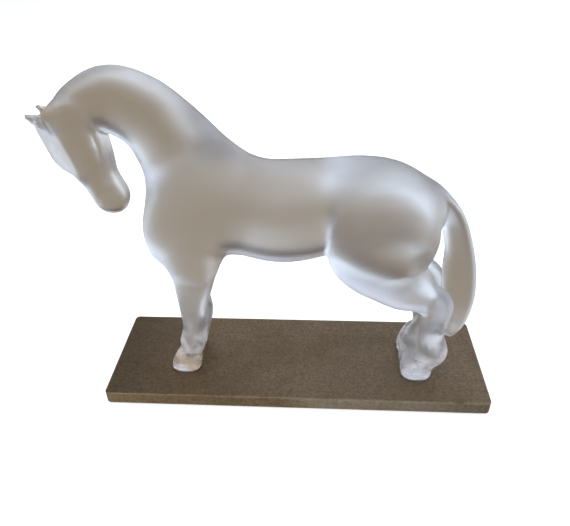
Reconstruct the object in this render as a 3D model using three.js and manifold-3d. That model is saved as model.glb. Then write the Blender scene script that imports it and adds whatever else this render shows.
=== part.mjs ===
import * as THREE from 'three';
import { mergeVertices } from 'three/addons/utils/BufferGeometryUtils.js';
import Module from 'manifold-3d';

// A standing horse in frosted crystal, neck arched and head tucked, on a rectangular metal plate.
// Millimetres, +Z up. The horse faces -X. The origin is the middle of the plate's underside.

// Driving dimensions
const PLATE_LENGTH = 330;
const PLATE_DEPTH = 102;
const PLATE_HEIGHT = 12.5;
const PLATE_CORNER = 4;
const PLATE_EDGE = 0.8;
const BOND_LINE = 0.3;
const FOOT_OVERRUN = 8;
const SMALLEST_EDGE = 0.03;
const CURVE_STEPS = 4;

// One ear of the mirrored pair: a pointed cone that leaves the poll forward, upward and a little outward
const EAR_ROOT = new THREE.Vector3(-167, 6.2, 220.5);
const EAR_TIP = new THREE.Vector3(-187.5, 10.8, 232);
const EAR_DEEP = 8.6;
const EAR_WIDE = 4.6;
const EAR_SIDES = 14;

// The flat of the forehead on one side of the head; the other side is its mirror
const FOREHEAD = new THREE.Plane().setFromNormalAndCoplanarPoint(
  new THREE.Vector3(-0.43, 0.9, -0.07).normalize(),
  new THREE.Vector3(-162.5, 11.5, 206),
);

// A station on a limb: where its middle passes (x along, y out from the mid-plane, z above the plate),
// its half-depth across the path in the side view, and its half-width across the horse.
function station(x, y, z, deep, wide) {
  return [x, y, z, deep, wide];
}

// A limb: its row of stations and how square its section is, where 2 is an ellipse.
function limb(square, stations) {
  return { square, row: smoothRow(stations, CURVE_STEPS) };
}

const TORSO = limb(2, [
  station(-100, 0, 123, 19, 16),
  station(-83, 0, 142, 34, 26),
  station(-62, 0, 155.5, 39.5, 30),
  station(-37.5, 0, 154.5, 38, 31.5),
  station(-9.5, 0, 152, 41.5, 32),
  station(20, 0, 155.5, 39.5, 28.5),
  station(49.5, 0, 157, 40, 28),
  station(68, 0, 156, 37, 27),
  station(88.5, 0, 153, 25, 20),
]);

const NECK = limb(2, [
  station(-160, 0, 229, 12, 10.5),
  station(-147, 0, 235, 17, 12),
  station(-125.5, 0, 238, 24, 13),
  station(-107.5, 0, 231, 26, 15),
  station(-93, 0, 217, 28, 17),
  station(-79, 0, 194.5, 33.5, 21),
  station(-69, 0, 173, 38.5, 25),
]);

const CHEEK = limb(4.5, [
  station(-166, 0, 216, 16.5, 10.5),
  station(-164, 0, 208.5, 22.8, 12),
  station(-155.5, 0, 198.5, 15, 11.2),
  station(-151.5, 0, 187, 12, 8.2),
]);

const FACE = limb(2.4, [
  station(-160, 0, 204, 16, 10),
  station(-153.5, 0, 193, 15.3, 10.2),
  station(-148, 0, 180, 12.7, 9),
  station(-141.5, 0, 168.5, 14.6, 8.6),
  station(-141, 0, 164, 13.7, 8),
]);

const THROAT = limb(3, [
  station(-147, 0, 230, 8, 7),
  station(-141.7, 0, 214, 7.4, 7),
  station(-140, 0, 196, 7.1, 6.6),
  station(-137.5, 0, 179, 4.2, 6.2),
]);

const SHOULDER = limb(2, [
  station(-86.5, 12, 137, 26.5, 14),
  station(-81, 13, 117.5, 19.5, 14),
]);

const FORELEG = limb(2, [
  station(-81, 13, 116, 17.5, 13),
  station(-82.5, 13.2, 99.5, 17, 12),
  station(-85, 13.5, 80, 13.5, 10),
  station(-87.3, 13.5, 61.5, 10.2, 9.4),
  station(-86.8, 13.8, 45, 10.6, 8.6),
  station(-90.3, 14.5, 29, 11, 9),
  station(-92.5, 14.8, 18, 8.5, 7.6),
]);

const FORE_HOOF = limb(2.3, [
  station(-92, 14.8, 21, 9.6, 8.2),
  station(-95.5, 15.2, 12, 11.6, 9),
  station(-98.6, 15.5, 3, 12.8, 9.4),
  station(-100, 15.5, -6, 13, 9.4),
]);

const THIGH = limb(2.15, [
  station(62.5, 12.5, 151.5, 34, 17.5),
  station(66, 16.5, 141, 42, 20),
  station(64.5, 17.5, 120, 32, 18),
  station(86, 19, 98.5, 21, 14),
]);

const HINDLEG = limb(2, [
  station(83, 19, 101, 19.5, 14),
  station(98, 19.5, 90.5, 15.2, 11.5),
  station(113, 19.5, 78, 13.6, 9.5),
  station(113.5, 19.5, 61, 11, 8.8),
  station(114, 19, 44, 10.5, 8.6),
  station(117.5, 18.6, 27, 12, 9.6),
  station(114, 18, 17, 9, 8.6),
]);

const HIND_HOOF = limb(2.3, [
  station(109, 17.5, 17, 11.5, 9.6),
  station(106.5, 17, 8, 13, 10.8),
  station(105.5, 17, -6, 13.5, 11.2),
]);

const HIND_WEB = limb(2, [
  station(113, 0, 40, 8, 14),
  station(108, 0, 20, 14, 16),
  station(107.5, 0, -6, 14.5, 18),
]);

const TAIL = limb(3.4, [
  station(80, 0, 175, 12, 9),
  station(97, 0, 169.3, 9.8, 7),
  station(110.5, 0, 159, 9, 6),
  station(120, 0, 145, 9.7, 6),
  station(127.5, 0, 123.8, 10.6, 6.2),
  station(131.5, 0, 100, 13.2, 6.2),
  station(135.5, 0, 74, 12.8, 5.8),
  station(136.7, 0, 54, 10, 5),
  station(136, 0, 42, 7.4, 4),
  station(134, 0, 34, 5, 3),
]);

// A curve through four neighbouring values, taken between the middle two.
function curveThrough(before, from, to, after, t) {
  const pull = 2 * before - 5 * from + 4 * to - after;
  const turn = 3 * (from - to) + after - before;
  return from + 0.5 * t * (to - before + t * (pull + t * turn));
}

// Fills the row between its stations with a curve that passes through each of them.
function smoothRow(stations, steps) {
  const row = [];
  const last = stations.length - 1;
  for (let i = 0; i < last; i += 1) {
    const before = stations[Math.max(i - 1, 0)];
    const after = stations[Math.min(i + 2, last)];
    for (let step = 0; step < steps; step += 1) {
      const t = step / steps;
      row.push(stations[i].map((from, n) => {
        const to = stations[i + 1][n];
        return curveThrough(before[n], from, to, after[n], t);
      }));
    }
  }
  row.push(stations[last]);
  return row;
}

// Distance from a point to a limb: the nearest of its short tapered pieces.
function limbDistance({ row, square }, x, y, z) {
  let nearest = Infinity;
  for (let i = 0; i + 1 < row.length; i += 1) {
    const from = row[i];
    const to = row[i + 1];
    const dx = to[0] - from[0];
    const dz = to[2] - from[2];
    const long = Math.sqrt(dx * dx + dz * dz);
    const raw = ((x - from[0]) * dx + (z - from[2]) * dz) / (long * long);
    const t = Math.min(Math.max(raw, 0), 1);
    const deep = from[3] + t * (to[3] - from[3]);
    const wide = from[4] + t * (to[4] - from[4]);
    const along = (raw - t) * long;
    const across = ((z - from[2]) * dx - (x - from[0]) * dz) / long;
    const inPlane = Math.sqrt(along * along + across * across) / deep;
    const side = Math.abs(y - from[1] - t * (to[1] - from[1])) / wide;
    nearest = Math.min(nearest, sectionDistance(inPlane, side, deep, wide, square));
  }
  return nearest;
}

// Distance to the edge of a rounded section, from how far out the point lies along its two half-sizes.
function sectionDistance(inPlane, side, deep, wide, square) {
  const a = square === 2 ? inPlane : inPlane ** (square - 1);
  const b = square === 2 ? side : side ** (square - 1);
  const total = a * inPlane + b * side;
  const reach = square === 2 ? Math.sqrt(total) : total ** (1 / square);
  const slope = Math.sqrt((a / deep) ** 2 + (b / wide) ** 2);
  return slope > 1e-9 ? (reach - 1) * reach ** (square - 1) / slope : -Math.min(deep, wide);
}

// Joins two distances with a fillet of about the given size.
function blend(a, b, size) {
  const overlap = Math.max(size - Math.abs(a - b), 0) / size;
  return Math.min(a, b) - overlap * overlap * size / 4;
}

// Keeps what two distances share, with an edge rounded by about the given size.
function cut(a, b, size) {
  return -blend(-a, -b, size);
}

// Signed distance to the whole horse: negative inside the crystal.
function horseDistance(x, y, z) {
  const out = Math.abs(y);
  const to = (part) => limbDistance(part, x, out, z);
  let body = blend(to(TORSO), to(NECK), 22);
  body = blend(body, to(SHOULDER), 14);
  body = blend(body, blend(to(FORELEG), to(FORE_HOOF), 3), 10);
  body = blend(body, to(THIGH), 4);
  const hind = blend(blend(to(HINDLEG), to(HIND_HOOF), 3), to(HIND_WEB), 6);
  body = blend(body, hind, 8);
  body = blend(body, to(TAIL), 3);
  const forehead = FOREHEAD.distanceToPoint(new THREE.Vector3(x, out, z));
  const cheek = cut(to(CHEEK), forehead, 3);
  const face = blend(cut(to(FACE), forehead, 3), to(THROAT), 6);
  return Math.max(blend(blend(body, cheek, 9), face, 2), -FOOT_OVERRUN - z);
}

// Grid lines with a chosen spacing over each zone.
function gridLines(start, zones) {
  const lines = [start];
  for (const [end, spacing] of zones) {
    const from = lines[lines.length - 1];
    const count = Math.max(1, Math.round((end - from) / spacing));
    for (let i = 1; i <= count; i += 1) {
      lines.push(from + (end - from) * i / count);
    }
  }
  return lines;
}

const GRID_X = gridLines(-196, [[-120, 4.9], [-70, 6.4], [60, 9.2], [90, 6.8], [152, 5.3]]);
const GRID_HALF_Y = gridLines(2.5, [[25, 4.5], [46, 7]]);
const GRID_Y = [...GRID_HALF_Y.map((value) => -value).reverse(), ...GRID_HALF_Y];
const GRID_Z = gridLines(-FOOT_OVERRUN - 6, [[30, 5.4], [110, 6.2], [205, 7.2], [240, 4.6], [270, 6.4]]);

// Closed surface where the distance passes zero: one vertex for each grid cell that the surface
// crosses, and a four-sided face around each grid edge that it crosses.
function surfaceWhereZero(distance, gx, gy, gz) {
  const [nx, ny, nz] = [gx.length, gy.length, gz.length];
  const at = (i, j, k) => (i * ny + j) * nz + k;
  const value = new Float64Array(nx * ny * nz);
  for (let i = 0; i < nx; i += 1) {
    for (let j = 0; j < ny; j += 1) {
      for (let k = 0; k < nz; k += 1) {
        value[at(i, j, k)] = distance(gx[i], gy[j], gz[k]);
      }
    }
  }
  const inside = (i, j, k) => value[at(i, j, k)] < 0;

  const positions = [];
  const vertexOf = new Int32Array(nx * ny * nz).fill(-1);
  const corners = [0, 1, 2, 3, 4, 5, 6, 7].map((n) => [n & 1, (n >> 1) & 1, (n >> 2) & 1]);
  const edges = [];
  for (let a = 0; a < 8; a += 1) {
    for (const bit of [1, 2, 4]) {
      if ((a & bit) === 0) {
        edges.push([corners[a], corners[a | bit]]);
      }
    }
  }
  for (let i = 0; i + 1 < nx; i += 1) {
    for (let j = 0; j + 1 < ny; j += 1) {
      for (let k = 0; k + 1 < nz; k += 1) {
        const sum = [0, 0, 0];
        let crossings = 0;
        for (const [a, b] of edges) {
          const va = value[at(i + a[0], j + a[1], k + a[2])];
          const vb = value[at(i + b[0], j + b[1], k + b[2])];
          if ((va < 0) !== (vb < 0)) {
            const t = va / (va - vb);
            sum[0] += gx[i + a[0]] + t * (gx[i + b[0]] - gx[i + a[0]]);
            sum[1] += gy[j + a[1]] + t * (gy[j + b[1]] - gy[j + a[1]]);
            sum[2] += gz[k + a[2]] + t * (gz[k + b[2]] - gz[k + a[2]]);
            crossings += 1;
          }
        }
        if (crossings > 0) {
          vertexOf[at(i, j, k)] = positions.length / 3;
          positions.push(...settle(distance, sum.map((total) => total / crossings)));
        }
      }
    }
  }

  const triangles = [];
  const faceAround = (a, b, c, d, flip) => {
    const ring = flip ? [a, d, c, b] : [a, b, c, d];
    const side = (p, q, n) => positions[3 * p + n] - positions[3 * q + n];
    const gap = (p, q) => Math.hypot(side(p, q, 0), side(p, q, 1), side(p, q, 2));
    if (gap(ring[0], ring[2]) <= gap(ring[1], ring[3])) {
      triangles.push(ring[0], ring[1], ring[2], ring[0], ring[2], ring[3]);
    } else {
      triangles.push(ring[1], ring[2], ring[3], ring[1], ring[3], ring[0]);
    }
  };
  for (let i = 1; i + 1 < nx; i += 1) {
    for (let j = 1; j + 1 < ny; j += 1) {
      for (let k = 1; k + 1 < nz; k += 1) {
        const here = inside(i, j, k);
        const cell = (di, dj, dk) => vertexOf[at(i - di, j - dj, k - dk)];
        if (here !== inside(i + 1, j, k)) {
          faceAround(cell(0, 1, 1), cell(0, 0, 1), cell(0, 0, 0), cell(0, 1, 0), !here);
        }
        if (here !== inside(i, j + 1, k)) {
          faceAround(cell(1, 0, 1), cell(1, 0, 0), cell(0, 0, 0), cell(0, 0, 1), !here);
        }
        if (here !== inside(i, j, k + 1)) {
          faceAround(cell(1, 1, 0), cell(0, 1, 0), cell(0, 0, 0), cell(1, 0, 0), !here);
        }
      }
    }
  }
  const geometry = new THREE.BufferGeometry();
  geometry.setAttribute('position', new THREE.Float32BufferAttribute(positions, 3));
  geometry.setIndex(triangles);
  return geometry;
}

// Moves a point along the slope of the distance until it lies on the surface.
function settle(distance, point) {
  let [x, y, z] = point;
  const small = 0.05;
  for (let pass = 0; pass < 3; pass += 1) {
    const here = distance(x, y, z);
    const slope = new THREE.Vector3(
      distance(x + small, y, z) - distance(x - small, y, z),
      distance(x, y + small, z) - distance(x, y - small, z),
      distance(x, y, z + small) - distance(x, y, z - small),
    ).divideScalar(2 * small);
    const step = THREE.MathUtils.clamp(here / Math.max(slope.lengthSq(), 0.05), -1.5, 1.5);
    x -= step * slope.x;
    y -= step * slope.y;
    z -= step * slope.z;
  }
  return [x, y, z];
}

const wasm = await Module();
wasm.setup();

function toManifold(geometry) {
  const bare = new THREE.BufferGeometry();
  bare.setAttribute('position', geometry.getAttribute('position'));
  bare.setIndex(geometry.getIndex());
  const merged = mergeVertices(bare, 1e-4);
  return new wasm.Manifold(new wasm.Mesh({
    numProp: 3,
    vertProperties: new Float32Array(merged.getAttribute('position').array),
    triVerts: new Uint32Array(merged.getIndex().array),
  }));
}

function fromManifold(solid) {
  const mesh = solid.getMesh();
  const geometry = new THREE.BufferGeometry();
  geometry.setAttribute('position', new THREE.BufferAttribute(new Float32Array(mesh.vertProperties), 3));
  geometry.setIndex(new THREE.BufferAttribute(new Uint32Array(mesh.triVerts), 1));
  geometry.computeVertexNormals();
  return geometry;
}

// One ear: side is 1 for the ear away from -Y, and -1 for the other.
function makeEar(side) {
  const mirror = new THREE.Vector3(1, side, 1);
  const root = EAR_ROOT.clone().multiply(mirror);
  const rise = EAR_TIP.clone().multiply(mirror).sub(root);
  const cone = new THREE.ConeGeometry(1, rise.length(), EAR_SIDES, 3);
  cone.translate(0, rise.length() / 2, 0);
  cone.scale(EAR_DEEP, 1, EAR_WIDE);
  const lengthwise = rise.normalize();
  const across = new THREE.Vector3(lengthwise.z, 0, -lengthwise.x).normalize();
  const outward = across.clone().cross(lengthwise);
  cone.applyMatrix4(new THREE.Matrix4().makeBasis(across, lengthwise, outward).setPosition(root));
  return toManifold(cone);
}

// The horse, with its hooves cut flat just above the plate
function makeHorse() {
  const surface = surfaceWhereZero(horseDistance, GRID_X, GRID_Y, GRID_Z);
  const below = new THREE.BoxGeometry(400, 120, 40);
  below.translate(0, 0, BOND_LINE - 20);
  const standing = toManifold(surface).subtract(toManifold(below));
  return fromManifold(standing.add(makeEar(1)).add(makeEar(-1)).simplify(SMALLEST_EDGE));
}

// The plate: a rectangle with small rounded corners and eased edges
function makePlate() {
  const halfLength = PLATE_LENGTH / 2 - PLATE_EDGE;
  const halfDepth = PLATE_DEPTH / 2 - PLATE_EDGE;
  const corner = PLATE_CORNER - PLATE_EDGE;
  const outline = new THREE.Shape();
  outline.moveTo(-halfLength + corner, -halfDepth);
  outline.lineTo(halfLength - corner, -halfDepth);
  outline.absarc(halfLength - corner, -halfDepth + corner, corner, -Math.PI / 2, 0);
  outline.lineTo(halfLength, halfDepth - corner);
  outline.absarc(halfLength - corner, halfDepth - corner, corner, 0, Math.PI / 2);
  outline.lineTo(-halfLength + corner, halfDepth);
  outline.absarc(-halfLength + corner, halfDepth - corner, corner, Math.PI / 2, Math.PI);
  outline.lineTo(-halfLength, -halfDepth + corner);
  outline.absarc(-halfLength + corner, -halfDepth + corner, corner, Math.PI, 1.5 * Math.PI);
  const geometry = new THREE.ExtrudeGeometry(outline, {
    depth: PLATE_HEIGHT - 2 * PLATE_EDGE,
    bevelEnabled: true,
    bevelThickness: PLATE_EDGE,
    bevelSize: PLATE_EDGE,
    bevelSegments: 1,
    curveSegments: 5,
  });
  geometry.translate(0, 0, PLATE_EDGE);
  return geometry;
}

const group = new THREE.Group();
group.name = 'crystal_horse_sculpture';

const horse = new THREE.Mesh(
  makeHorse(),
  new THREE.MeshStandardMaterial({ color: 0xc4c2c4, roughness: 0.45, metalness: 0 }),
);
horse.name = 'crystal_horse';
horse.position.set(0, 0, PLATE_HEIGHT);
group.add(horse);

const plate = new THREE.Mesh(
  makePlate(),
  new THREE.MeshStandardMaterial({ color: 0x5d564c, roughness: 0.45, metalness: 0.9 }),
);
plate.name = 'plinth_plate';
group.add(plate);

export default group;
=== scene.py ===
import math

import bpy
import numpy as np
from mathutils import Matrix, Vector


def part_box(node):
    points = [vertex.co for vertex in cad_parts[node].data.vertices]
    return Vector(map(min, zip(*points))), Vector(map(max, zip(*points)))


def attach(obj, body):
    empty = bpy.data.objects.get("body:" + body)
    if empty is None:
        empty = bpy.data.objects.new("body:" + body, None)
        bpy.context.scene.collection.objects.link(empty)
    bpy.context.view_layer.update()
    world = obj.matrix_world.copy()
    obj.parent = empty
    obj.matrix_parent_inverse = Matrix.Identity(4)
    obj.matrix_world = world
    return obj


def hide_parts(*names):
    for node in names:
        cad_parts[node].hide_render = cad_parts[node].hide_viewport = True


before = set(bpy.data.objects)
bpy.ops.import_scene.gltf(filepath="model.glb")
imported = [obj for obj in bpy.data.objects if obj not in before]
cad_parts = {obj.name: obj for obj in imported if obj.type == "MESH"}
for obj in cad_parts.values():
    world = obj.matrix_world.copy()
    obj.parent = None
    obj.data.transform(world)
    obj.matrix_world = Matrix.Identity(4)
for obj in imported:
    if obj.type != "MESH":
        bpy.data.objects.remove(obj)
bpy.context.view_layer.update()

# A standing horse in frosted crystal on a dark metal plate. Forms are worked out in millimetres above the
# plate's top and turned into the frame's metres at the end. The horse faces -X.
MM = 0.001
PLATE_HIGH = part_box("plinth_plate")[1]
PLATE_TOP = PLATE_HIGH.z
BOND_LINE = 0.3
FINE_STEP = 1.4
CURVE_STEPS = 8
LIMB_REACH = 26.0
SETTLE_PASSES = 4
SLOPE_STEP = 0.05
LEAST_SLOPE = 0.05
LONGEST_MOVE = 1.5
TINY = 1e-6

# Each station on a limb: x along the horse, y out from its mid-plane, z up, then the half-depth across
# the limb in the side view and the half-width across the horse.
TORSO = [
    (-100, 0, 123, 19, 16),
    (-83, 0, 142, 34, 26),
    (-62, 0, 155.5, 39.5, 30),
    (-37.5, 0, 154.5, 38, 31.5),
    (-9.5, 0, 152, 41.5, 32),
    (20, 0, 155.5, 39.5, 28.5),
    (49.5, 0, 157, 40, 28),
    (68, 0, 156, 37, 27),
    (88.5, 0, 153, 25, 20),
]
NECK = [
    (-160, 0, 229, 12, 10.5),
    (-147, 0, 235, 17, 12),
    (-125.5, 0, 238, 24, 13),
    (-107.5, 0, 231, 26, 15),
    (-93, 0, 217, 28, 17),
    (-79, 0, 194.5, 33.5, 21),
    (-69, 0, 173, 38.5, 25),
]
CHEEK = [
    (-166, 0, 216, 16.5, 10.5),
    (-164, 0, 208.5, 22.8, 12),
    (-155.5, 0, 198.5, 15, 11.2),
    (-151.5, 0, 187, 12, 8.2),
]
FACE = [
    (-160, 0, 204, 16, 10),
    (-153.5, 0, 193, 15.3, 10.2),
    (-148, 0, 180, 12.7, 9),
    (-141.5, 0, 168.5, 14.6, 8.6),
    (-141, 0, 164, 13.7, 8),
]
THROAT = [
    (-147, 0, 230, 8, 7),
    (-141.7, 0, 214, 7.4, 7),
    (-140, 0, 196, 7.1, 6.6),
    (-137.5, 0, 179, 4.2, 6.2),
]
SHOULDER = [
    (-86.5, 12, 137, 26.5, 14),
    (-81, 13, 117.5, 19.5, 12.4),
]
FORELEG = [
    (-81, 13, 116, 17.5, 13),
    (-82.5, 13.2, 99.5, 17, 12),
    (-85, 13.5, 80, 13.5, 10),
    (-87.3, 13.5, 61.5, 10.2, 9.4),
    (-86.8, 13.8, 45, 10.6, 8.6),
    (-90.3, 14.5, 29, 11, 9),
    (-92.5, 14.8, 18, 8.5, 7.6),
]
FORE_HOOF = [
    (-92, 14.8, 21, 9.6, 8.2),
    (-95.5, 15.2, 12, 11.6, 9),
    (-98.6, 15.5, 3, 12.8, 9.4),
    (-100, 15.5, -6, 13, 9.4),
]
THIGH = [
    (62.5, 12.5, 151.5, 34, 17.5),
    (66, 16.5, 141, 42, 20),
    (64.5, 17.5, 120, 32, 18),
    (86, 19, 98.5, 21, 14),
]
FLANK = [
    (57, 14.5, 148, 32, 14),
    (59, 16, 130, 34.5, 15.5),
]
BUTTOCK = [
    (82.5, 11, 154.5, 26, 13),
    (78, 15, 142, 24, 15),
]
HINDLEG = [
    (83, 19, 101, 19.5, 14),
    (98, 19.5, 90.5, 15.2, 11.5),
    (113, 19.5, 78, 13.6, 9.5),
    (113.5, 19.5, 61, 11, 8.8),
    (114, 19, 44, 10.5, 8.6),
    (117.5, 18.6, 27, 12, 9.6),
    (114, 18, 17, 9, 8.6),
]
HIND_HOOF = [
    (109, 17.5, 17, 11.5, 9.6),
    (106.5, 17, 8, 13, 10.8),
    (105.5, 17, -6, 13.5, 11.2),
]
HIND_WEB = [
    (113, 0, 40, 8, 14),
    (108, 0, 20, 14, 16),
    (107.5, 0, -6, 14.5, 18),
]
TAIL = [
    (80, 0, 175, 12, 9),
    (97, 0, 169.3, 10.4, 8),
    (110.5, 0, 159, 9, 7),
    (120, 0, 145, 9.7, 6),
    (127.5, 0, 123.8, 10.6, 6.2),
    (131.5, 0, 100, 13.2, 6.2),
    (135.5, 0, 74, 12.8, 5.8),
    (136.7, 0, 54, 10, 5),
    (136, 0, 42, 7.4, 4),
    (134, 0, 34, 5, 3),
]
EAR = [
    (-169, 5.6, 221.6, 6.6, 3.2),
    (-178, 8.4, 226.6, 4.4, 2.4),
    (-187.2, 10.6, 231.8, 0.4, 0.4),
]
FOREHEAD_POINT = (-162.5, 11.5, 206)
FOREHEAD_NORMAL = (-0.49, 0.855, -0.15)
NOSTRIL = (-149, 9.2, 163.4)
NOSTRIL_SIZE = 2.2

# How square a limb's section is: 2 is an ellipse, and more is squarer
ROUND = 2
THIGH_SQUARE = 2.25
HOOF_SQUARE = 2.3
FACE_SQUARE = 2.4
FLANK_SQUARE = 3
THROAT_SQUARE = 3
TAIL_SQUARE = 3.4
CHEEK_SQUARE = 6

# Fillets where one form joins another, and the rounding of carved edges
NECK_FILLET = 22
SHOULDER_FILLET = 14
FORELEG_FILLET = 10
FORE_HOOF_FILLET = 1.2
FLANK_FILLET = 3
BUTTOCK_FILLET = 5
THIGH_FILLET = 4
HINDLEG_FILLET = 8
HIND_HOOF_FILLET = 3
HIND_WEB_FILLET = 6
TAIL_FILLET = 2.2
EAR_FILLET = 2
THROAT_FILLET = 6
CHEEK_FILLET = 9
FACE_FILLET = 0.8
FOREHEAD_EDGE = 1.2
NOSTRIL_EDGE = 2


# The horse's form

def curve_row(stations):
    """The stations with a smooth curve's points filled in between them."""
    knots = np.array(stations, float)
    row = []
    for i in range(len(knots) - 1):
        before = knots[max(i - 1, 0)]
        start = knots[i]
        end = knots[i + 1]
        after = knots[min(i + 2, len(knots) - 1)]
        for step in range(CURVE_STEPS):
            t = step / CURVE_STEPS
            pull = 2 * before - 5 * start + 4 * end - after
            turn = 3 * (start - end) + after - before
            row.append(start + 0.5 * t * (end - before + t * (pull + t * turn)))
    row.append(knots[-1])
    return np.array(row)


def section_distance(in_plane, side, deep, wide, square):
    """Distance to the edge of a rounded section, where square 2 is an ellipse."""
    a = in_plane ** (square - 1)
    b = side ** (square - 1)
    reach = (a * in_plane + b * side) ** (1 / square)
    slope = np.hypot(a / deep, b / wide)
    return (reach - 1) * reach ** (square - 1) / np.maximum(slope, TINY)


def limb_distance(stations, square, points):
    """Distance from each point to a limb, and a plain far value where the limb is out of reach."""
    row = curve_row(stations)
    half = row[:, 3:5].max(axis=1, keepdims=True)
    low = (row[:, :3] - half).min(axis=0) - LIMB_REACH
    high = (row[:, :3] + half).max(axis=0) + LIMB_REACH
    near = np.all((points > low) & (points < high), axis=1)
    x, out, z = points[near].T
    nearest = np.full(len(x), np.inf)
    for start, end in zip(row[:-1], row[1:]):
        run = end - start
        length = math.hypot(run[0], run[2])
        raw = ((x - start[0]) * run[0] + (z - start[2]) * run[2]) / length**2
        t = np.clip(raw, 0, 1)
        deep = start[3] + t * run[3]
        wide = start[4] + t * run[4]
        across = ((z - start[2]) * run[0] - (x - start[0]) * run[2]) / length
        in_plane = np.hypot((raw - t) * length, across) / deep
        side = np.abs(out - start[1] - t * run[1]) / wide
        nearest = np.minimum(nearest, section_distance(in_plane, side, deep, wide, square))
    distance = np.full(len(points), LIMB_REACH)
    distance[near] = nearest
    return distance


def blend(a, b, size):
    """Joins two distances with a fillet of about the given size."""
    overlap = np.maximum(size - np.abs(a - b), 0) / size
    return np.minimum(a, b) - overlap**2 * size / 4


def cut(a, b, size):
    """Keeps what two distances share, with an edge rounded by about the given size."""
    return -blend(-a, -b, size)


def plane_distance(points, place, normal):
    direction = np.array(normal) / np.linalg.norm(normal)
    return (points - np.array(place)) @ direction


def dent_distance(points, place, size):
    return np.linalg.norm(points - np.array(place), axis=1) - size


def horse_distance(places):
    """Signed distance to the horse, negative inside the crystal."""
    points = np.column_stack((places[:, 0], np.abs(places[:, 1]), places[:, 2]))
    body = limb_distance(TORSO, ROUND, points)
    body = blend(body, limb_distance(NECK, ROUND, points), NECK_FILLET)
    body = blend(body, limb_distance(SHOULDER, ROUND, points), SHOULDER_FILLET)
    foreleg = limb_distance(FORELEG, ROUND, points)
    foreleg = blend(foreleg, limb_distance(FORE_HOOF, HOOF_SQUARE, points), FORE_HOOF_FILLET)
    body = blend(body, foreleg, FORELEG_FILLET)
    body = blend(body, limb_distance(FLANK, FLANK_SQUARE, points), FLANK_FILLET)
    body = blend(body, limb_distance(BUTTOCK, ROUND, points), BUTTOCK_FILLET)
    body = blend(body, limb_distance(THIGH, THIGH_SQUARE, points), THIGH_FILLET)
    hind = limb_distance(HINDLEG, ROUND, points)
    hind = blend(hind, limb_distance(HIND_HOOF, HOOF_SQUARE, points), HIND_HOOF_FILLET)
    hind = blend(hind, limb_distance(HIND_WEB, ROUND, points), HIND_WEB_FILLET)
    body = blend(body, hind, HINDLEG_FILLET)
    body = blend(body, limb_distance(TAIL, TAIL_SQUARE, points), TAIL_FILLET)
    forehead = plane_distance(points, FOREHEAD_POINT, FOREHEAD_NORMAL)
    cheek = cut(limb_distance(CHEEK, CHEEK_SQUARE, points), forehead, FOREHEAD_EDGE)
    cheek = blend(cheek, limb_distance(EAR, ROUND, points), EAR_FILLET)
    face = cut(limb_distance(FACE, FACE_SQUARE, points), forehead, FOREHEAD_EDGE)
    face = cut(face, -dent_distance(points, NOSTRIL, NOSTRIL_SIZE), NOSTRIL_EDGE)
    face = blend(face, limb_distance(THROAT, THROAT_SQUARE, points), THROAT_FILLET)
    whole = blend(blend(body, cheek, CHEEK_FILLET), face, FACE_FILLET)
    return np.maximum(whole, BOND_LINE - points[:, 2])


def settle(points):
    """Moves points along the slope of the distance until they lie on the horse's surface."""
    for _ in range(SETTLE_PASSES):
        here = horse_distance(points)
        slope = np.column_stack([
            horse_distance(points + SLOPE_STEP * axis) - here for axis in np.eye(3)
        ]) / SLOPE_STEP
        size = np.maximum((slope**2).sum(axis=1), LEAST_SLOPE)
        step = np.clip(here / size, -LONGEST_MOVE, LONGEST_MOVE)
        points = points - step[:, None] * slope
    return points


def make_horse():
    """The fine horse: the solid's own surface in small faces, settled onto the carved form."""
    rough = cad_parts["crystal_horse"].copy()
    rough.data = rough.data.copy()
    bpy.context.collection.objects.link(rough)
    fine = rough.modifiers.new("fine", "REMESH")
    fine.mode = "VOXEL"
    fine.voxel_size = FINE_STEP * MM
    depsgraph = bpy.context.evaluated_depsgraph_get()
    mesh = bpy.data.meshes.new_from_object(rough.evaluated_get(depsgraph))
    bpy.data.objects.remove(rough)
    places = np.empty(3 * len(mesh.vertices), np.float32)
    mesh.vertices.foreach_get("co", places)
    base = np.array((0, 0, PLATE_TOP))
    points = (places.reshape(-1, 3).astype(float) - base) / MM
    points = settle(points)
    mesh.vertices.foreach_set("co", (points * MM + base).astype(np.float32).ravel())
    mesh.update()
    mesh.shade_smooth()
    mesh.name = "frosted_horse"
    horse = bpy.data.objects.new("frosted_horse", mesh)
    bpy.context.collection.objects.link(horse)
    return horse


# Camera, taken from the plate's corners in the photo

IMAGE_WIDTH = 570
FOCAL_PIXELS = 545
CAMERA_PLACE = (0.015801, -0.363855, 0.371580)
CAMERA_PITCH = math.radians(34.95)
CAMERA_ROLL = math.radians(-1.317)
CAMERA_YAW = math.radians(-3.885)


def make_camera():
    lens = bpy.data.cameras.new("camera")
    lens.sensor_width = 36
    lens.lens = lens.sensor_width * FOCAL_PIXELS / IMAGE_WIDTH
    lens.clip_start = 0.01
    lens.clip_end = 50
    camera = bpy.data.objects.new("camera", lens)
    bpy.context.collection.objects.link(camera)
    level = math.cos(CAMERA_PITCH)
    forward = Vector((math.sin(CAMERA_YAW) * level, math.cos(CAMERA_YAW) * level, -math.sin(CAMERA_PITCH)))
    right = forward.cross(Vector((0, 0, 1))).normalized()
    up = right.cross(forward)
    tilted_right = math.cos(CAMERA_ROLL) * right + math.sin(CAMERA_ROLL) * up
    tilted_up = math.cos(CAMERA_ROLL) * up - math.sin(CAMERA_ROLL) * right
    turn = Matrix((tilted_right, tilted_up, -forward)).transposed().to_4x4()
    camera.matrix_world = Matrix.Translation(CAMERA_PLACE) @ turn
    bpy.context.scene.camera = camera


# Shader maths

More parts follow.
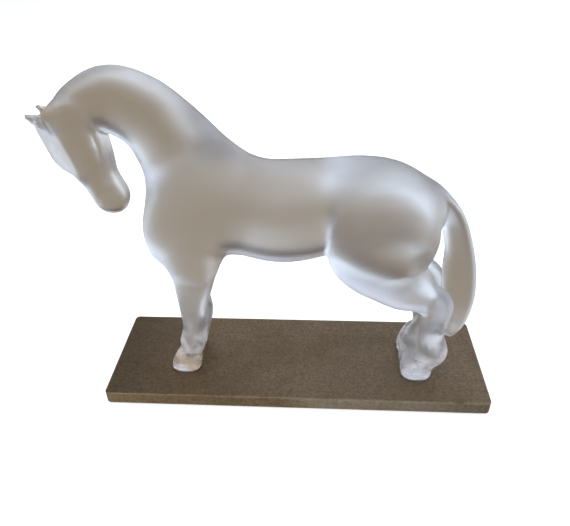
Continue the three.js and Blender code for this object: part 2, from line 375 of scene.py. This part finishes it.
class Finish:
    """A shader socket that takes part in Python sums; node() adds any other kind of node."""

    def __init__(self, tree, socket=None):
        self.tree = tree
        self.socket = socket

    def node(self, kind, settings=None, sockets=None, output=0):
        added = self.tree.nodes.new(kind)
        for name, value in (settings or {}).items():
            setattr(added, name, value)
        for name, value in (sockets or {}).items():
            if isinstance(value, Finish):
                self.tree.links.new(value.socket, added.inputs[name])
            else:
                added.inputs[name].default_value = value
        return Finish(self.tree, added.outputs[output] if added.outputs else None)

    def other_output(self, name):
        return Finish(self.tree, self.socket.node.outputs[name])

    def sum(self, operation, first, second):
        return self.node("ShaderNodeMath", {"operation": operation}, {0: first, 1: second})

    def __add__(self, other):
        return self.sum("ADD", self, other)

    def __radd__(self, other):
        return self.sum("ADD", other, self)

    def __sub__(self, other):
        return self.sum("SUBTRACT", self, other)

    def __rsub__(self, other):
        return self.sum("SUBTRACT", other, self)

    def __mul__(self, other):
        return self.sum("MULTIPLY", self, other)

    def __rmul__(self, other):
        return self.sum("MULTIPLY", other, self)

    def __truediv__(self, other):
        return self.sum("DIVIDE", self, other)

    def __rtruediv__(self, other):
        return self.sum("DIVIDE", other, self)

    def __abs__(self):
        return self.sum("ABSOLUTE", self, 0)


def new_finish(owner):
    """An empty node tree of a material or a world."""
    owner.use_nodes = True
    owner.node_tree.nodes.clear()
    return Finish(owner.node_tree)


def axes(place):
    split = place.node("ShaderNodeSeparateXYZ", sockets={0: place})
    return split, split.other_output(1), split.other_output(2)


def rise(value, low, high):
    """0 below low and 1 above high, with a smooth rise between them."""
    bounds = {"Value": value, "From Min": low, "From Max": high}
    return value.node("ShaderNodeMapRange", {"interpolation_type": "SMOOTHSTEP"}, bounds)


def larger(first, second):
    return first.sum("MAXIMUM", first, second)


def noise(place, scale, detail):
    return place.node("ShaderNodeTexNoise", sockets={"Vector": place, "Scale": scale, "Detail": detail})


def varied(cloud, swing):
    """A value of about 1 that goes up and down with a noise."""
    return (1 - swing / 2) + swing * cloud


def opaque(colour):
    return colour if isinstance(colour, Finish) else (*colour, 1)


def mixed(share, first, second):
    """The first colour turning into the second as the share goes from 0 to 1."""
    colours = {0: share, 6: opaque(first), 7: opaque(second)}
    return share.node("ShaderNodeMix", {"data_type": "RGBA"}, colours, output=2)


def tinted(colour, strength):
    """A colour made brighter or darker by a value."""
    scaled = {0: colour, "Scale": strength}
    return strength.node("ShaderNodeVectorMath", {"operation": "SCALE"}, scaled)


def added(first, second):
    return first.node("ShaderNodeVectorMath", {"operation": "ADD"}, {0: first, 1: second})


# Finishes

FROSTED = 0.35
POLISHED = 0.22
POLISH_TOP = PLATE_TOP + 0.004
FROST_START = PLATE_TOP + 0.045
COOL_CRYSTAL = (0.975, 0.985, 1.0)
WARM_CRYSTAL = (1.0, 0.985, 0.965)
# Painted reflection: the low part of the fore hooves is painted amber, the metal plate's colour seen through
# the glass
PAINTED_PLATE_REFLECTION = (0.74, 0.59, 0.45)
PALE_FROST = (0.74, 0.73, 0.74)
PLATE_REFLECTION_TOP = PLATE_TOP + 0.014
PLATE_REFLECTION_END = PLATE_TOP + 0.026
FORE_TO_HIND = (-0.05, 0.05)
LEAST_MILK = 0.06
STREAK_MILK = 0.34
STREAK_EDGE = (0.36, 0.62)
GROUND_TOP = PLATE_TOP + 0.03
GROUND_END = PLATE_TOP + 0.07
NOISE_MIDDLE = 0.5
CLOUD_ROUGHNESS = 0.05
RIPPLE_SHARE = 2
SPECK_CORE = 0.4
SPECK_TINT = (0.55, 0.5, 0.46)
SPECKS = [
    ((-63.8, -27, 197.9), 1.6),
    ((-29.3, -27, 201.8), 0.9),
    ((71, -34, 105.5), 1.2),
]

# The crystal's noises, each with its scale per metre and its detail
CRYSTAL_CLOUDS = (28, 3)
FROST_GRAIN = (900, 2)
CAST_RIPPLE = (140, 1)
MILK_STREAKS = (75, 2)


def in_frame(place):
    """A point in millimetres above the plate's top, in the frame's metres."""
    x, y, z = place
    return (x * MM, y * MM, z * MM + PLATE_TOP)


def make_crystal():
    crystal = bpy.data.materials.new("frosted_crystal")
    paint = new_finish(crystal)
    place = paint.node("ShaderNodeTexCoord", output="Object")
    x, _, height = axes(place)
    clouds = noise(place, *CRYSTAL_CLOUDS)
    grain = noise(place, *FROST_GRAIN)
    ripple = noise(place, *CAST_RIPPLE)
    frost = rise(height, POLISH_TOP, FROST_START)
    roughness = POLISHED + (FROSTED - POLISHED) * frost + CLOUD_ROUGHNESS * (clouds - NOISE_MIDDLE)
    tint = mixed(clouds, COOL_CRYSTAL, WARM_CRYSTAL)
    for spot, size in SPECKS:
        reach = {0: place, 1: in_frame(spot)}
        gap = place.node("ShaderNodeVectorMath", {"operation": "DISTANCE"}, reach, "Value")
        tint = mixed(rise(gap, SPECK_CORE * size * MM, size * MM), SPECK_TINT, tint)
    relief = {"Height": grain * frost + RIPPLE_SHARE * ripple, "Strength": 0.5, "Distance": 0.00004}
    normal = paint.node("ShaderNodeBump", sockets=relief)
    shader = paint.node("ShaderNodeBsdfPrincipled", sockets={
        "Base Color": tint,
        "Roughness": roughness,
        "IOR": 1.5,
        "Transmission Weight": 1.0,
        "Normal": normal,
    })
    # Painted reflection of the plate, in the milky layer of the fore hooves' lowest part
    plate_reflection = (1 - rise(x, *FORE_TO_HIND)) * (1 - rise(height, PLATE_REFLECTION_TOP, PLATE_REFLECTION_END))
    ground = paint.node("ShaderNodeBsdfPrincipled", sockets={
        "Base Color": mixed(plate_reflection, PALE_FROST, PAINTED_PLATE_REFLECTION),
        "Roughness": 0.5,
        "Normal": normal,
    })
    streaks = rise(noise(place, *MILK_STREAKS), *STREAK_EDGE)
    milky = (LEAST_MILK + STREAK_MILK * streaks) * (1 - rise(height, GROUND_TOP, GROUND_END))
    body = paint.node("ShaderNodeMixShader", sockets={0: milky, 1: shader, 2: ground})
    paint.node("ShaderNodeOutputMaterial", sockets={"Surface": body})
    return crystal


DARK_PATINA = (0.102, 0.072, 0.039)
LIGHT_PATINA = (0.127, 0.094, 0.056)
PINK_PATINA = (0.134, 0.092, 0.060)
PATINA_EDGE = (0.25, 0.75)
PINK_EDGE = (0.52, 0.75)
PINK_SHARE = 0.6
BLOTCH_SHARE = 0.5
BRUSH_SWING = 0.3
GRAIN_SWING = 1.2

# Painted shade and painted light: the metal is painted darker at the top's left end, and paler on the front
# face, most of all at its left
TOP_LEFT_PAINTED_SHADE = 0.55
TOP_LEFT_SHADE_EDGE = (-0.17, -0.07)
FRONT_LEFT_PAINTED_LIGHT = 2
FRONT_RIGHT_PAINTED_LIGHT = 1.15
FRONT_LIGHT_SPREAD = (-0.15, 0.15)
FRONT_START = PLATE_HIGH.y - 0.0008
FRONT_FULL = PLATE_HIGH.y - 0.0002

WORN_EDGE = (0.23, 0.18, 0.13)
WORN_WIDTH = 0.0016
WORN_DEPTH = 0.003
WORN_PATCHES = (0.35, 0.6)
WORN_SHARE = 0.6
METAL_ROUGHNESS = 0.27
BLOTCH_ROUGHNESS = 0.12
BRUSH_ROUGHNESS = 0.06
PIT_SHARE = 0.5

# The metal's noises, each with its scale per metre and its detail
PATINA_CLOUDS = (13, 3)
PATINA_BLOTCHES = (60, 4)
PINK_CLOUDS = (22, 2)
BRUSH_LINES = (45, 2)
BRUSH_STRETCH = (1, 22, 22)
METAL_PITS = (700, 2)
METAL_GRAIN = (520, 2)


def make_plate_metal():
    metal = bpy.data.materials.new("patinated_metal")
    paint = new_finish(metal)
    place = paint.node("ShaderNodeTexCoord", output="Object")
    x, y, z = axes(place)
    clouds = noise(place, *PATINA_CLOUDS)
    blotches = noise(place, *PATINA_BLOTCHES)
    along = place.node("ShaderNodeMapping", sockets={"Vector": place, "Scale": BRUSH_STRETCH})
    brushed = noise(along, *BRUSH_LINES)
    pits = noise(place, *METAL_PITS)
    grain = noise(place, *METAL_GRAIN)
    patina = clouds + BLOTCH_SHARE * (blotches - NOISE_MIDDLE)
    tone = mixed(rise(patina, *PATINA_EDGE), DARK_PATINA, LIGHT_PATINA)
    tone = mixed(PINK_SHARE * rise(noise(place, *PINK_CLOUDS), *PINK_EDGE), tone, PINK_PATINA)
    # Painted shade darkens the top's left end, and painted light brightens the front face
    top_painted_shade = TOP_LEFT_PAINTED_SHADE + (1 - TOP_LEFT_PAINTED_SHADE) * rise(x, *TOP_LEFT_SHADE_EDGE)
    front = rise(-1 * y, FRONT_START, FRONT_FULL)
    front_painted_light = FRONT_LEFT_PAINTED_LIGHT - (FRONT_LEFT_PAINTED_LIGHT - FRONT_RIGHT_PAINTED_LIGHT) * rise(x, *FRONT_LIGHT_SPREAD)
    mottle = varied(brushed, BRUSH_SWING) * varied(grain, GRAIN_SWING)
    tone = tinted(tone, mottle * (top_painted_shade + front * (front_painted_light - top_painted_shade)))
    rim = larger(abs(x) - PLATE_HIGH.x, abs(y) - PLATE_HIGH.y)
    upper = rise(z, PLATE_TOP - WORN_DEPTH, PLATE_TOP)
    worn = rise(rim, -WORN_WIDTH, 0) * upper * rise(blotches, *WORN_PATCHES)
    tone = mixed(WORN_SHARE * worn, tone, WORN_EDGE)
    relief = {"Height": brushed + PIT_SHARE * pits, "Strength": 0.4, "Distance": 0.00012}
    normal = paint.node("ShaderNodeBump", sockets=relief)
    shader = paint.node("ShaderNodeBsdfPrincipled", sockets={
        "Base Color": tone,
        "Roughness": METAL_ROUGHNESS + BLOTCH_ROUGHNESS * blotches + BRUSH_ROUGHNESS * brushed,
        "Metallic": 0.7,
        "Normal": normal,
    })
    paint.node("ShaderNodeOutputMaterial", sockets={"Surface": shader})
    return metal


# The studio: a white floor for the eye, and under it a glowing tinted card that the glass and the metal
# show; its dark patch is a painted shadow of the horse

FLOOR_WIDTH = 12
CARD_HEIGHT = -0.0005
PALE = (0.85, 0.85, 0.85)
NEAR_CARD = (0.40, 0.365, 0.315)
LEFT_CARD = (1.42, 1.55, 1.72)
FAR_CARD = (0.30, 0.247, 0.182)
SHADOW_CARD = (0.10, 0.055, 0.02)
RIGHT_CARD = (0.80, 1.0, 1.22)
FRONT_CARD = (0.21, 0.25, 0.29)
GLOW_CARD = (0.54, 0.69, 0.90)
SIDE_CARD = (1.42, 1.68, 2.05)
SHADOW_PLACE = (0.145, 0.325, 0)
BACKDROP = (0.95, 0.95, 0.95)
SHADE_LEFT = (0.07, 0.05, 0.035)
SHADE_RIGHT = (0.55, 0.62, 0.74)
CEILING_LEFT = (0.60, 0.54, 0.46)
CEILING_RIGHT = (0.92, 0.98, 1.16)
WINDOW = (1.58, 1.78, 2.28)

# Where the card's patches start and are full, in metres from the plate's middle or its edge. The turn to the
# right is a share of the distance, and the slant of the far part is a slope.
LEFT_EDGE = (0.17, 0.215)
NEAR_END = (0.09, 0.15)
FAR_EDGE = (0.064, 0.385)
FAR_SLANT = 0.29
SHADOW_EDGE = (0.075, 0.135)
RIGHT_TURN = (-0.4, 0.78)
RIGHT_START = (0.36, 0.42)
FRONT_PATCH_START = (0.06, 0.12)
FRONT_PATCH_RIGHT = (0, 0.08)
FRONT_PATCH_LEFT = (0.18, 0.24)
GLOW_START = (-0.02, 0.03)
GLOW_END = (0.19, 0.262)
SIDE_START = (0.3, 0.42)
SIDE_HALF_WIDTH = (0.12, 0.26)
CENTRE_GUARD = 0.01

# Where each part of the room starts and is full, as parts of a direction of length 1
WINDOW_START = (0.6, 1.04)
WINDOW_TOP = (0.6, 1)
WINDOW_FADE = 0.6
CEILING_TURN = (-0.55, 0.05)
SHADE_TURN = (0.05, 0.45)
CEILING_START = (0.21, 0.36)


def make_sheet(name, height, material):
    bpy.ops.mesh.primitive_plane_add(size=FLOOR_WIDTH, location=(0, 0, height))
    sheet = bpy.context.active_object
    sheet.name = name
    sheet.data.materials.append(material)
    return sheet


def make_floor():
    white = bpy.data.materials.new("white_floor")
    paint = new_finish(white)
    shader = paint.node("ShaderNodeBsdfPrincipled", sockets={"Base Color": opaque(PALE), "Roughness": 0.9})
    paint.node("ShaderNodeOutputMaterial", sockets={"Surface": shader})
    floor = make_sheet("floor", 0, white)
    floor.visible_transmission = False
    floor.visible_glossy = False


def make_card():
    card_paper = bpy.data.materials.new("tinted_card")
    paint = new_finish(card_paper)
    place = paint.node("ShaderNodeTexCoord", output="Object")
    x, y, _ = axes(place)
    beside = larger(abs(x) - PLATE_HIGH.x, 0)
    beyond = larger(abs(y) - PLATE_HIGH.y, 0)
    gap = paint.sum("SQRT", beside * beside + beyond * beyond, 0)
    reach = paint.sum("SQRT", x * x + y * y, 0) + CENTRE_GUARD
    near = mixed(rise(-1 * x, *LEFT_EDGE), NEAR_CARD, LEFT_CARD)
    near = mixed(rise(x, *NEAR_END), near, FAR_CARD)
    tone = mixed(rise(gap - FAR_SLANT * x, *FAR_EDGE), near, FAR_CARD)
    # Painted shadow of the horse on the glowing card
    from_shadow = {0: place, 1: SHADOW_PLACE}
    shadow_gap = paint.node("ShaderNodeVectorMath", {"operation": "DISTANCE"}, from_shadow, "Value")
    tone = mixed(rise(shadow_gap, *SHADOW_EDGE), SHADOW_CARD, tone)
    rightward = rise(x / reach, *RIGHT_TURN) * rise(reach, *RIGHT_START)
    tone = added(tone, tinted(RIGHT_CARD, rightward))
    ahead = rise(-1 * y, *FRONT_PATCH_START) * rise(-1 * x, *FRONT_PATCH_RIGHT)
    tone = added(tone, tinted(FRONT_CARD, ahead * (1 - rise(-1 * x, *FRONT_PATCH_LEFT))))
    middle = rise(x, *GLOW_START) * (1 - rise(abs(y) + x, *GLOW_END))
    tone = added(tone, tinted(GLOW_CARD, middle))
    left_end = rise(-1 * x, *SIDE_START) * (1 - rise(abs(y), *SIDE_HALF_WIDTH))
    tone = added(tone, tinted(SIDE_CARD, left_end))
    glow = paint.node("ShaderNodeEmission", sockets={"Color": tone})
    paint.node("ShaderNodeOutputMaterial", sockets={"Surface": glow})
    card = make_sheet("card", CARD_HEIGHT, card_paper)
    card.visible_camera = False
    card.visible_diffuse = False
    card.visible_shadow = False


def make_room():
    world = bpy.data.worlds.new("room")
    bpy.context.scene.world = world
    paint = new_finish(world)
    direction = paint.node("ShaderNodeTexCoord")
    x, _, z = axes(direction)
    window = rise(x, *WINDOW_START) * (1 - WINDOW_FADE * rise(z, *WINDOW_TOP))
    ceiling = mixed(rise(x, *CEILING_TURN), CEILING_LEFT, CEILING_RIGHT)
    shade = mixed(rise(x, *SHADE_TURN), SHADE_LEFT, SHADE_RIGHT)
    tone = mixed(rise(z, *CEILING_START), shade, ceiling)
    tone = added(tone, tinted(WINDOW, window))
    path = paint.node("ShaderNodeLightPath")
    seen = larger(path.other_output("Is Camera Ray"), path.other_output("Is Diffuse Ray"))
    backdrop = paint.node("ShaderNodeBackground", sockets={"Color": opaque(BACKDROP)})
    lit = paint.node("ShaderNodeBackground", sockets={"Color": tone})
    shown = paint.node("ShaderNodeMixShader", sockets={0: seen, 1: lit, 2: backdrop})
    paint.node("ShaderNodeOutputWorld", sockets={"Surface": shown})


def make_fill():
    fill = bpy.data.objects.new("fill", bpy.data.lights.new("fill", "AREA"))
    fill.data.energy = 40
    fill.data.size = 2.0
    fill.location = (0, 0, 1.6)
    fill.visible_glossy = False
    fill.visible_transmission = False
    bpy.context.collection.objects.link(fill)


make_camera()
make_room()
make_floor()
make_card()
make_fill()
bpy.context.scene.view_settings.view_transform = "Standard"

horse = make_horse()
horse.data.materials.clear()
horse.data.materials.append(make_crystal())
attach(horse, "root")
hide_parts("crystal_horse")
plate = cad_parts["plinth_plate"]
plate.material_slots[0].material = make_plate_metal()
